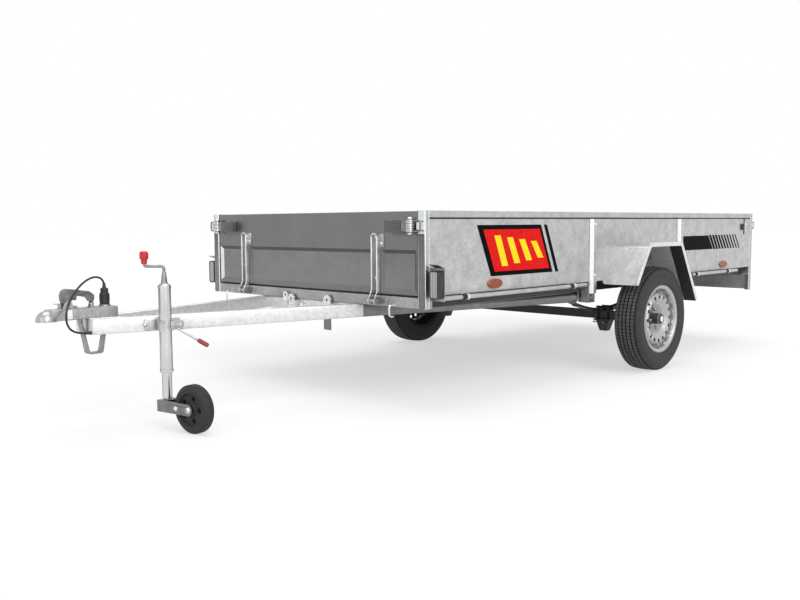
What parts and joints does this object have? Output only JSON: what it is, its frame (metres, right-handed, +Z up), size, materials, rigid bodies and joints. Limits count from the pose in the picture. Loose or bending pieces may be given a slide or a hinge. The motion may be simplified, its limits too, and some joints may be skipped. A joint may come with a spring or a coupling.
{
  "type": "utility trailer",
  "caption": "Tipping single-axle box trailer with galvanised drop sides front and rear, splayed drawbar, ball coupling and jockey wheel.",
  "frame": {"origin": "on the ground, on the trailer's centre line, midway between the coupling's nose and the tailgate's latches", "axes": "+X forward to the coupling, +Y to the trailer's left, +Z up, square to the load floor"},
  "size_m": [4.602, 1.934, 0.854],
  "materials": {
    "galvanised_steel": "bright spangled zinc, satin",
    "gate_steel": "zinc-magnesium sheet, duller grey",
    "tube_steel": "bright zinc plate",
    "black_paint": "satin black",
    "plywood": "film-faced floor plywood",
    "red_plastic": "glossy red",
    "grey_plastic": "dark grey, satin",
    "black_plastic": "matte black",
    "tyre_rubber": "matte tread rubber",
    "solid_rubber": "matte",
    "wheel_silver": "silver wheel paint",
    "clear_lens": "clear moulded lens",
    "red_lens": "red and amber moulded lens",
    "amber_lens": "amber reflector"
  },
  "bodies": {
    "drawbar": {"drawbar_arm_left": "galvanised_steel", "drawbar_arm_right": "galvanised_steel", "drawbar_cross_tube": "galvanised_steel", "drawbar_head": "galvanised_steel", "coupling_seat": "galvanised_steel", "coupling_body": "tube_steel", "parking_foot": "galvanised_steel", "plug": "black_plastic", "cable": "black_plastic", "jockey_clamp": "tube_steel", "clamp_grip": "red_plastic", "tip_latches": "galvanised_steel", "drawbar_eye_bolt": "tube_steel"},
    "coupling_handle": {"coupling_handle": "grey_plastic"},
    "jockey_post": {"jockey_post": "tube_steel"},
    "jockey_crank": {"jockey_crank": "tube_steel", "crank_knob": "red_plastic"},
    "jockey_leg": {"jockey_leg": "tube_steel"},
    "jockey_fork": {"jockey_fork": "tube_steel"},
    "jockey_wheel": {"jockey_wheel": "solid_rubber"},
    "front_gate": {"front_gate": "gate_steel", "front_gate_straps": "galvanised_steel", "front_gate_latches": "galvanised_steel"},
    "tailgate": {"tailgate": "gate_steel", "tailgate_straps": "galvanised_steel", "tailgate_latches": "galvanised_steel"},
    "wheel_left": {"tyre_left": "tyre_rubber", "wheel_rim_left": "wheel_silver", "wheel_hub_left": "black_paint"},
    "wheel_right": {"tyre_right": "tyre_rubber", "wheel_rim_right": "wheel_silver", "wheel_hub_right": "black_paint"},
    "bed": {"side_members": "black_paint", "crossmembers": "galvanised_steel", "floor": "plywood", "side_panels": "galvanised_steel", "top_rails": "galvanised_steel", "corner_posts": "galvanised_steel", "side_ribs": "galvanised_steel", "gate_hinge_ears": "galvanised_steel", "light_board": "galvanised_steel", "tail_lamps": "red_lens", "front_lamps": "black_plastic", "front_lamp_lenses": "clear_lens", "front_lamp_brackets": "galvanised_steel", "side_markers": "amber_lens", "tarp_rails": "galvanised_steel", "tarp_rail_lugs": "galvanised_steel", "mudguards": "galvanised_steel", "axle_beam": "black_paint", "axle_clamps": "galvanised_steel", "leaf_springs": "black_paint", "tip_pivot_lugs": "galvanised_steel", "spring_hangers": "galvanised_steel", "rope_hooks": "tube_steel"}
  },
  "joints": [
    {"name": "tip_hinge", "type": "hinge", "parent": "drawbar", "child": "bed", "pos_m": [-0.256, 0, 0.4137], "axis": [0, -1, 0], "range_deg": [0, 12]},
    {"name": "wheel_left_spin", "type": "hinge", "parent": "bed", "child": "wheel_left", "pos_m": [-0.673, 0.8785, 0.2805], "axis": [0, 1, 0], "continuous": true},
    {"name": "wheel_right_spin", "type": "hinge", "parent": "bed", "child": "wheel_right", "pos_m": [-0.673, -0.8785, 0.2805], "axis": [0, 1, 0], "continuous": true},
    {"name": "front_gate_hinge", "type": "hinge", "parent": "bed", "child": "front_gate", "pos_m": [1.035, 0, 0.466], "axis": [0, 1, 0], "range_deg": [0, 90]},
    {"name": "tailgate_hinge", "type": "hinge", "parent": "bed", "child": "tailgate", "pos_m": [-2.279, 0, 0.478], "axis": [0, -1, 0], "range_deg": [0, 180]},
    {"name": "coupling_handle_hinge", "type": "hinge", "parent": "drawbar", "child": "coupling_handle", "pos_m": [2.183, 0, 0.503], "axis": [0, 1, 0], "range_deg": [0, 40]},
    {"name": "jockey_post_slide", "type": "slide", "parent": "drawbar", "child": "jockey_post", "axis": [0, 0, 1], "range_m": [-0.12, 0.09]},
    {"name": "jockey_crank_spin", "type": "hinge", "parent": "jockey_post", "child": "jockey_crank", "pos_m": [1.872, 0.182, 0.573], "axis": [0, 0, 1], "continuous": true},
    {"name": "jockey_leg_slide", "type": "slide", "parent": "jockey_post", "child": "jockey_leg", "axis": [0, 0, 1], "range_m": [-0.1, 0.095]},
    {"name": "jockey_fork_swivel", "type": "hinge", "parent": "jockey_leg", "child": "jockey_fork", "pos_m": [1.872, 0.182, 0.118], "axis": [0, 0, 1], "continuous": true},
    {"name": "jockey_wheel_spin", "type": "hinge", "parent": "jockey_fork", "child": "jockey_wheel", "pos_m": [1.8456, 0.33169, 0.095], "axis": [0.9848, 0.1736, 0], "continuous": true}
  ]
}
